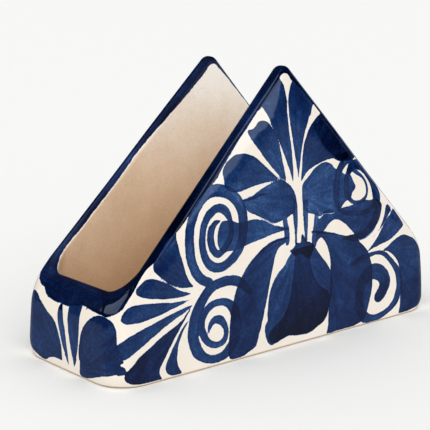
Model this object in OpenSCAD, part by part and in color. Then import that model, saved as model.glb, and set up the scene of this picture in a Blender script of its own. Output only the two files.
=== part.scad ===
// Napkin holder of glazed earthenware: a low trough between two gable-shaped panels.
// It is built from slabs of clay that are luted edge to edge, with soft clay pressed into the inner seams.
// The origin is on the table under the middle of the foot, +X runs along the panels and -Y is the front.

/* [Body] */
// Length over the two end walls
body_length = 160; // [130:1:200]
// Depth over the foot, from front to back
body_depth = 57; // [48:1:80]
// Height of the end walls' outer face, where the slopes start
shoulder_height = 24; // [19:0.5:36]
// Angle of the gable's slopes above the table
slope_angle = 45; // [38:0.5:52]
// Angle by which each panel leans inwards
panel_lean = 3.3; // [0:0.1:5]
// Radius in plan of the four outer corners
corner_radius = 8; // [5:0.5:12]
// How much the outer corners' radius grows from the walls down to the table
corner_draw = 5; // [0:0.5:8]
// Radius over the tip of each gable
apex_radius = 4; // [2:0.5:10]

/* [Slabs] */
// Thickness of the front and back panels
panel_thickness = 5.5; // [4.5:0.1:8]
// Thickness of the two end walls
end_thickness = 8; // [6:0.5:12]
// Thickness of the floor slab
floor_thickness = 6; // [5:0.5:9]

/* [Edges] */
// Rounding of the rim's outer edge at the tip of a gable
rim_outer_round = 2.5; // [1:0.1:3.5]
// Rounding of the rim's outer edge along the end walls
shoulder_round = 4.2; // [2:0.1:6]
// Rounding of the rim's inner edge
rim_inner_round = 2.2; // [1:0.1:3]
// Rounding of the floor slab's lower edge
foot_round = 0.9; // [0.5:0.1:3]

/* [Pressed-in clay] */
// Radius in plan that the corner coils give the inner corners
corner_coil_radius = 8; // [5:0.5:12]
// Height from the rim down to the top of the corner coils
corner_coil_drop = 7; // [5.5:0.5:9]
// Radius of the coil round the edge of the floor
floor_coil_radius = 4; // [2:0.5:4.5]

/* [Hidden] */

// Facets in half of a corner, along half of a slope, over half of a tip, along an end wall, round an edge
// and down the floor slab's side
corner_steps = 6;
slope_steps = 12;
tip_steps = 4;
end_steps = 6;
round_steps = 5;
side_steps = 4;

// Shares of a wall's thickness that its outer and its inner rounding may take
outer_round_share = 0.56;
inner_round_share = 0.42;
// Share of the way from tip to end wall where the outer rounding starts to grow
round_growth_start_share = 0.35;

half_length = body_length / 2;
half_depth = body_depth / 2;
slope_rise = tan(slope_angle);
lean_rise = tan(panel_lean);
// Thickness of a leaning panel, measured level
panel_run = panel_thickness / cos(panel_lean);
// Where the round tip meets the straight slopes, and the height of its centre
tip_half_width = apex_radius * sin(slope_angle);
tip_centre_height = shoulder_height + half_length * slope_rise - apex_radius / cos(slope_angle);
// The mitre between a panel and an end wall lies halfway round the corner
mitre_turn = 45;
quarter_turn = 90;

glaze_blue = [0.16, 0.26, 0.48];
glaze_cream = [0.93, 0.89, 0.82];
glaze_tan = [0.78, 0.67, 0.54];

// Height of the rim over a place x along the length: two slopes joined by an arc
function rim_height(x) =
    abs(x) < tip_half_width
        ? tip_centre_height + sqrt(pow(apex_radius, 2) - pow(x, 2))
        : shoulder_height + (half_length - abs(x)) * slope_rise;

// Vertical share of the rim's unit normal
function rim_up(x) =
    abs(x) < tip_half_width ? sqrt(1 - pow(x / apex_radius, 2)) : cos(slope_angle);

// Rounding of the rim's outer edge, which widens steadily towards the end walls
function outer_round(x) =
    let (way = (abs(x) / half_length - round_growth_start_share) / (1 - round_growth_start_share))
    rim_outer_round + (shoulder_round - rim_outer_round) * max(0, way);

// A station is one upright cut through a wall, held as its outer point and inner point on the table,
// the inward direction square to the wall, its lean (1 front, -1 back) and the share of its thickness
// that stands below the rim, where a corner coil fills the rest.
function corner_station(turn, is_end) =
    let (
        inward = [cos(turn), sin(turn)],
        outer = [-half_length, -half_depth] + corner_radius * ([1, 1] - inward),
        inner = [-half_length + end_thickness, -half_depth + panel_run]
            + corner_coil_radius * ([1, 1] - inward),
        across = inner - outer,
        below = is_end
            ? (end_thickness - corner_radius * (1 - inward.x)) / across.x
            : (panel_run - corner_radius * (1 - inward.y)) / across.y
    )
    [outer, inner, inward, 1, below];

// Station on the straight part of the front panel, at a place x of its outer face
function panel_station(x) =
    let (
        outer_reach = half_length - corner_radius,
        inner_reach = half_length - end_thickness - corner_coil_radius
    )
    [[x, -half_depth], [x * inner_reach / outer_reach, -half_depth + panel_run], [0, 1], 1, 1];

// Station on the straight part of the left end wall, way being -1 at the front and 1 at the back
function end_station(way) =
    let (
        outer_y = half_depth - corner_radius,
        inner_y = half_depth - panel_run - corner_coil_radius
    )
    [[-half_length, way * outer_y], [-half_length + end_thickness, way * inner_y], [1, 0], -way, 1];

function mirrored(stations, along_x, along_y) = [
    for (s = stations)
        let (flip = [along_x, along_y])
        [
            [s[0].x * flip.x, s[0].y * flip.y],
            [s[1].x * flip.x, s[1].y * flip.y],
            [s[2].x * flip.x, s[2].y * flip.y],
            s[3] * along_y,
            s[4]
        ]
];

function reversed(items) = [for (k = [len(items) - 1 : -1 : 0]) items[k]];

// Places along half a slope: even steps from the corner up to the tip, then even turns over the tip
function slope_places() =
    let (start = half_length - corner_radius)
    concat(
        [for (k = [1 : slope_steps]) -start + (start - tip_half_width) * k / slope_steps],
        [for (k = [tip_steps - 1 : -1 : 1]) -apex_radius * sin(slope_angle * k / tip_steps)]
    );

function panel_stations() =
    let (
        corner = [
            for (k = [0 : corner_steps])
                corner_station(mitre_turn + (quarter_turn - mitre_turn) * k / corner_steps, false)
        ],
        slope = [for (x = slope_places()) panel_station(x)],
        half = concat(corner, slope)
    )
    concat(half, [panel_station(0)], reversed(mirrored(half, -1, 1)));

function end_stations() =
    let (
        corner = [for (k = [0 : corner_steps]) corner_station(mitre_turn * (1 - k / corner_steps), true)],
        straight = [for (k = [1 : end_steps - 1]) end_station(2 * k / end_steps - 1)]
    )
    concat(corner, straight, reversed(mirrored(corner, 1, -1)));

// A point of a station: share of the thickness from the outer face, and height
function at_station(s, share, z) =
    let (level = s[0] + (s[1] - s[0]) * share)
    [level.x, level.y + s[3] * lean_rise * z, z];

// A quarter ellipse across a corner of the section, from the face below it to the rim beside it
function rounded_edge(s, share, reach, drop, turns) =
    let (
        z = rim_height(s[0].x + (s[1].x - s[0].x) * share),
        z_reach = rim_height(s[0].x + (s[1].x - s[0].x) * (share + reach)) - z
    )
    [
        for (turn = turns)
            at_station(
                s,
                share + reach * (1 - cos(turn)),
                z + z_reach * (1 - cos(turn)) - drop * (1 - sin(turn))
            )
    ];

// Section of a wall, from the top of the coil's seat: down the seat, up the outer face, over the rounded
// rim and down the inner face. Away from the corners the seat lies in the inner face.
function wall_section(s) =
    let (
        thickness = (s[1] - s[0]) * s[2],
        outer_edge = min(outer_round(s[0].x), thickness * outer_round_share),
        inner_edge = min(rim_inner_round, thickness * inner_round_share),
        turns = [for (k = [0 : round_steps]) quarter_turn * k / round_steps],
        seat_x = s[0].x + (s[1].x - s[0].x) * s[4]
    )
    concat(
        [
            at_station(s, s[4], rim_height(seat_x) - corner_coil_drop),
            at_station(s, s[4], floor_thickness),
            at_station(s, 0, floor_thickness)
        ],
        rounded_edge(s, 0, outer_edge / thickness, outer_edge / rim_up(s[0].x), turns),
        rounded_edge(s, 1, -inner_edge / thickness, inner_edge / rim_up(s[1].x), reversed(turns)),
        [at_station(s, 1, rim_height(s[1].x) - corner_coil_drop)]
    );

// Section of the coil round the floor: a hollow fillet between the inner face and the floor
function floor_coil_section(s) =
    let (
        foot = at_station(s, 1, floor_thickness),
        up = [0, s[3] * lean_rise, 1] * floor_coil_radius,
        inward = [s[2].x, s[2].y, 0] * floor_coil_radius
    )
    concat(
        [foot],
        [
            for (k = [0 : round_steps])
                let (turn = quarter_turn * k / round_steps)
                foot + up * (1 - sin(turn)) + inward * (1 - cos(turn))
        ]
    );

// Outline of the floor slab at a height: its lower edge is rounded and its corners are drawn in towards
// the table
function floor_ring(z) =
    let (
        below = max(0, 1 - z / foot_round),
        inset = foot_round * (1 - sqrt(1 - pow(below, 2))),
        radius = corner_radius + corner_draw * pow(1 - z / floor_thickness, 2),
        corner = [
            for (k = [0 : 2 * corner_steps])
                let (
                    turn = quarter_turn * k / (2 * corner_steps),
                    inward = [cos(turn), sin(turn)],
                    level = [-half_length, -half_depth] + radius * ([1, 1] - inward) + inset * inward
                )
                [level, level, inward, 1, 1]
        ],
        left = concat(reversed(corner), mirrored(corner, 1, -1))
    )
    [for (s = concat(left, reversed(mirrored(left, -1, 1)))) at_station(s, 0, z)];

// Skin of a solid carried from section to section. Each section runs anticlockwise to someone who looks
// along the path, and every point of it can be seen from its first. Where a point repeats the one before
// it, the faces between them are left out.
module carried(sections, closed = false) {
    count = len(sections);
    size = len(sections[0]);
    points = [for (section = sections) each section];
    function place(j, k) =
        let (start = (j % count) * size, n = start + k % size, before = start + (k + size - 1) % size)
        points[n] == points[before] ? before : n;
    sides = [
        for (j = [0 : closed ? count - 1 : count - 2])
            for (k = [0 : size - 1])
                let (a = place(j, k), b = place(j, k + 1), c = place(j + 1, k + 1), d = place(j + 1, k))
                for (face = [[a, b, c], [a, c, d]])
                    if (face[0] != face[1] && face[1] != face[2] && face[2] != face[0]) face
    ];
    ends = closed ? [] : [
        concat([0], [for (k = [size - 1 : -1 : 1]) k]),
        [for (k = [0 : size - 1]) (count - 1) * size + k]
    ];
    polyhedron(points = points, faces = concat(ends, sides));
}

module wall(stations) {
    carried([for (s = stations) wall_section(s)]);
}

// Upright coil that fills an inner corner, cut off in line with the slope of the rim
module corner_coil(along_x, along_y) {
    turns = [for (k = [0 : 2 * corner_steps]) quarter_turn * k / (2 * corner_steps)];
    stations = concat(
        [for (turn = turns) corner_station(turn, true)],
        [for (is_end = [false, true]) corner_station(mitre_turn, is_end)]
    );
    placed = mirrored(stations, along_x, along_y);
    hollow = [for (k = [0 : len(turns) - 1]) [placed[k], 1]];
    panel_seat = [placed[len(turns)], placed[len(turns)][4]];
    end_seat = [placed[len(turns) + 1], placed[len(turns) + 1][4]];
    ring = along_x * along_y > 0
        ? concat([end_seat], hollow, [panel_seat])
        : reversed(concat(hollow, [panel_seat, end_seat]));
    carried([
        [for (p = ring) at_station(p[0], p[1], floor_thickness)],
        [
            for (p = ring)
                let (x = p[0][0].x + (p[0][1].x - p[0][0].x) * p[1])
                at_station(p[0], p[1], rim_height(x) - corner_coil_drop)
        ]
    ]);
}

// Base slab that the four walls stand on
module floor_slab() {
    side_height = floor_thickness - foot_round;
    heights = concat(
        [for (k = [0 : round_steps]) foot_round * (1 - cos(quarter_turn * k / round_steps))],
        [for (k = [1 : side_steps]) foot_round + side_height * k / side_steps]
    );
    color(glaze_cream)
    carried([for (z = heights) floor_ring(z)]);
}

module front_panel() {
    color(glaze_blue)
    wall(panel_stations());
}

module back_panel() {
    color(glaze_blue)
    wall(reversed(mirrored(panel_stations(), 1, -1)));
}

module left_end_wall() {
    color(glaze_blue)
    wall(reversed(end_stations()));
}

module right_end_wall() {
    color(glaze_blue)
    wall(mirrored(end_stations(), -1, 1));
}

// Rope of clay pressed all round the edge of the floor
module floor_seam_coil() {
    corner = [for (k = [0 : 2 * corner_steps]) corner_station(quarter_turn * k / (2 * corner_steps), true)];
    left = concat(mirrored(reversed(corner), 1, 1), mirrored(corner, 1, -1));
    color(glaze_tan)
    carried([for (s = reversed(concat(left, reversed(mirrored(left, -1, 1))))) floor_coil_section(s)], true);
}

module front_left_corner_coil() {
    color(glaze_tan)
    corner_coil(1, 1);
}

module front_right_corner_coil() {
    color(glaze_tan)
    corner_coil(-1, 1);
}

module back_left_corner_coil() {
    color(glaze_tan)
    corner_coil(1, -1);
}

module back_right_corner_coil() {
    color(glaze_tan)
    corner_coil(-1, -1);
}

floor_slab();
front_panel();
back_panel();
left_end_wall();
right_end_wall();
floor_seam_coil();
front_left_corner_coil();
front_right_corner_coil();
back_left_corner_coil();
back_right_corner_coil();
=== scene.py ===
"""Looks of a glazed earthenware napkin holder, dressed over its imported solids.

Lengths are written in millimetres as on the potter's bench and become metres when a mesh is laid."""

import math

import bpy
import numpy as np
from mathutils import Matrix, Quaternion, Vector


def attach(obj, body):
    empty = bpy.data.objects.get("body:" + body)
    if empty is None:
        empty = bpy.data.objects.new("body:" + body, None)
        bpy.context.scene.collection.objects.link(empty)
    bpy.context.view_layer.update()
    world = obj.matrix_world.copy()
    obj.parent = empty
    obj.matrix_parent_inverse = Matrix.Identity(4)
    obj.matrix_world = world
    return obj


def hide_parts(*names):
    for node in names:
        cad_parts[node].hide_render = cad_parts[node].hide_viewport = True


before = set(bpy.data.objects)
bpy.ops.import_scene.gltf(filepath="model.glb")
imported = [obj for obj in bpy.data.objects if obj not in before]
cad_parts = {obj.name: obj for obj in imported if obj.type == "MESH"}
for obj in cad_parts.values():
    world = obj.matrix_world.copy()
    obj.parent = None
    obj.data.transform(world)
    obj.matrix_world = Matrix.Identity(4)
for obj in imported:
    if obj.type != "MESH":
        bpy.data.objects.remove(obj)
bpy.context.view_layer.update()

# ----------------------------------------
# The four walls: slabs of earthenware, cut with a mitre at each corner and luted to the base slab. One
# profile runs round all four, so that their outer faces, rims and inner faces meet without a step.
half_length = 80.0
half_depth = 28.5
shoulder_height = 24.0
corner_radius = 8.0
corner_draw = 5.0
apex_radius = 4.0
panel_lean = math.radians(3.3)
panel_run = 5.5 / math.cos(panel_lean)
end_thickness = 8.0
floor_thickness = 6.0
rim_outer_round = 2.5
shoulder_round = 4.2
rim_inner_round = 2.2
widening_start = 0.35
outer_edge_limit, inner_edge_limit = 0.56, 0.42
foot_round = 0.9
inner_corner_radius = 8.0
coil_drop = 7.0
panel_pitch, end_pitch = 0.5, 0.45
panel_rows, end_rows = 150, 52
# Distance from the rim that stands for all places which no band reaches
far_below = 12
# Half the length over which a surface's tangent is measured, and the same as a share of a section's part
probe, share_probe = 0.02, 1e-3
millimetre = 0.001

panel_straight = half_length - corner_radius
corner_arc = corner_radius * math.pi / 2
end_straight = half_depth - corner_radius
quarter = panel_straight + corner_arc + end_straight
half_way, whole_way = 2 * quarter, 4 * quarter
mitre_place = panel_straight + corner_arc / 2
lean_rise = math.tan(panel_lean)
tip_half_width = apex_radius * math.sin(math.radians(45))
tip_centre = shoulder_height + half_length - apex_radius / math.cos(math.radians(45))


def rim_height(x):
    """Height of the unrounded rim over a place along the length: two 45 degree slopes joined by an arc."""
    x = np.abs(x)
    over_tip = tip_centre + np.sqrt(np.maximum(apex_radius**2 - x**2, 0))
    return np.where(x < tip_half_width, over_tip, shoulder_height + half_length - x)


def rim_up(x):
    """Upright share of the rim's unit normal: that of the slope, or of the arc over the tip."""
    x = np.abs(x)
    return np.where(x < tip_half_width, np.sqrt(np.maximum(1 - (x / apex_radius) ** 2, 0.25)), math.sqrt(0.5))


def round_the_body(s, z):
    """Places on the outer and the inner outline for an arc length s round the body, 0 at the front's middle
    and growing to the right. A quarter of the way is a straight panel, a quarter circle and half an end
    wall; the other quarters are its mirror images. Below the floor's top the corner radius grows with the
    square of the depth, and the foot's edge is a quarter circle."""
    t = np.mod(s + quarter, whole_way) - quarter
    back = t > quarter
    t = np.where(back, t - half_way, t)
    side = np.where(back, -1.0, 1.0) * np.where(t < 0, -1.0, 1.0)
    front = np.where(back, 1.0, -1.0)
    q = np.abs(t)
    turn = np.clip((q - panel_straight) / corner_arc, 0, 1) * math.pi / 2
    along = np.clip(q / panel_straight, 0, 1)
    way = 1 - np.clip((q - panel_straight - corner_arc) / end_straight, 0, 1)
    depth = np.clip(1 - z / floor_thickness, 0, 1)
    radius = corner_radius + corner_draw * depth**2
    below = np.clip(1 - z / foot_round, 0, 1)
    inset = foot_round * (1 - np.sqrt(np.maximum(1 - below**2, 0)))
    outer_x = (half_length - radius) * along + (radius - inset) * np.sin(turn)
    outer_y = (half_depth - radius) * way + (radius - inset) * np.cos(turn)
    inner_x = (half_length - end_thickness - inner_corner_radius) * along + inner_corner_radius * np.sin(turn)
    inner_y = (half_depth - panel_run - inner_corner_radius) * way + inner_corner_radius * np.cos(turn)
    return dict(side=side, front=front, turn=turn, way=way, outer=(outer_x, outer_y), inner=(inner_x, inner_y))


def at_share(p, share, z):
    """Point between the outer outline (share 0) and the inner one (share 1) at a height, moved inwards by
    the panel's lean, which fades to nothing in the middle of an end wall."""
    x = p["outer"][0] + (p["inner"][0] - p["outer"][0]) * share
    y = p["outer"][1] + (p["inner"][1] - p["outer"][1]) * share - p["way"] * lean_rise * z
    return np.stack([p["side"] * x, p["front"] * y, z + 0 * x], -1)


def inward(p):
    """Level unit vector from the outer face towards the inside."""
    return np.stack([-p["side"] * np.sin(p["turn"]), -p["front"] * np.cos(p["turn"]), 0 * p["turn"]], -1)


def unit_cross(first, second):
    """Unit vector at right angles to both."""
    normal = np.cross(first, second)
    return normal / np.maximum(np.linalg.norm(normal, axis=-1, keepdims=True), 1e-12)


def thumb_marks(s, z):
    """How far the hand-pressed face lies under the true one: two waves over length and height, 0 to 0.22 mm."""
    waves = np.sin(s / 17.0 + 0.6) * np.cos(z / 21.0 + 0.4) + 0.6 * np.sin(s / 9.0 - z / 13.0)
    return 0.07 * (1.6 + waves)


def pressed_edge(x, z):
    """How far the rim's outer border lies under the flat face, as the potter thins it between finger and thumb:
    its tilt grows in even steps from nothing at the border's inner side to 14 degrees at the edge itself. The
    distance from the edge is one over the root of the sum of the inverse squares of those to both slopes."""
    border, tilt = 14.2, math.tan(math.radians(14))
    tip = shoulder_height + half_length
    near, far = (np.maximum((tip + way * x - z) * math.sqrt(0.5), 1e-3) for way in (-1, 1))
    from_edge = np.clip(1 / np.sqrt(near**-2.0 + far**-2.0), 0, border)
    return tilt * (border - from_edge) ** 2 / (2 * border)


def wall_point(s, part, t):
    """Point of a wall's section, and its distance from the rim's top along the surface. Part 0 climbs the outer
    face, 1 turns over the rim's outer edge on a quarter ellipse, 2 over its inner edge, 3 goes down the inner
    face to the corner coil's top and 4 down the coil's seat to the floor."""
    p = round_the_body(s, floor_thickness)
    (ox, oy), (ix, iy), turn = p["outer"], p["inner"], p["turn"]
    thickness = (ox - ix) * np.sin(turn) + (oy - iy) * np.cos(turn)
    growth = np.maximum(0, (ox / half_length - widening_start) / (1 - widening_start))
    widened = rim_outer_round + (shoulder_round - rim_outer_round) * growth
    outer_edge = np.minimum(widened, outer_edge_limit * thickness)
    inner_edge = np.minimum(rim_inner_round, inner_edge_limit * thickness)
    outer_drop = outer_edge / rim_up(ox)
    inner_drop = inner_edge / rim_up(ix)
    if part == 0:
        z = floor_thickness + (rim_height(ox) - outer_drop - floor_thickness) * t
        point = at_share(p, 0, z)
        down = outer_edge * math.pi / 2 + (rim_height(ox) - outer_drop - z) * rim_up(ox)
    elif part in (1, 2):
        outside = part == 1
        bend = (t if outside else 1 - t) * math.pi / 2
        start = 0.0 if outside else 1.0
        reach = (outer_edge if outside else -inner_edge) / thickness
        drop = outer_drop if outside else inner_drop
        z0 = rim_height(ox + (ix - ox) * start)
        z1 = rim_height(ox + (ix - ox) * (start + reach))
        z = z0 + (z1 - z0) * (1 - np.cos(bend)) - drop * (1 - np.sin(bend))
        point = at_share(p, start + reach * (1 - np.cos(bend)), z)
        down = (outer_edge * (1 - t) if outside else inner_edge * t) * math.pi / 2
    elif part == 3:
        top = rim_height(ix) - inner_drop
        z = top + (rim_height(ix) - coil_drop - top) * t
        point = at_share(p, 1, z)
        down = inner_edge * math.pi / 2 + (top - z) * rim_up(ix)
    else:
        by_end = (end_thickness - corner_radius * (1 - np.sin(turn))) / (ox - ix)
        by_panel = (panel_run - corner_radius * (1 - np.cos(turn))) / np.maximum(oy - iy, 1e-6)
        seat = np.where(turn > math.pi / 4, by_end, by_panel)
        seat = np.where((turn <= 0) | (turn >= math.pi / 2), 1.0, seat)
        top = rim_height(ox + (ix - ox) * seat) - coil_drop
        z = top + (floor_thickness - top) * t
        point = at_share(p, seat, z)
        down = far_below + 0 * z
    if part <= 1:
        fade = 1.0 if part == 0 else (1 - t**2) ** 2
        edge = pressed_edge(ox, np.minimum(point[..., 2], rim_height(ox) - outer_drop))
        pressed = (thumb_marks(s, point[..., 2]) + edge * p["way"] * np.cos(turn) ** 2) * fade
        point += inward(p) * pressed[..., None]
    return point, down


def wall_normal(s, part, t):
    """Outward normal, at right angles to the surface's two tangents, which are taken by central differences."""
    round_way = wall_point(s + probe, part, t)[0] - wall_point(s - probe, part, t)[0]
    over, under = np.minimum(t + share_probe, 1), np.maximum(t - share_probe, 0)
    up_way = wall_point(s, part, over)[0] - wall_point(s, part, under)[0]
    return unit_cross(round_way, up_way)


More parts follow.
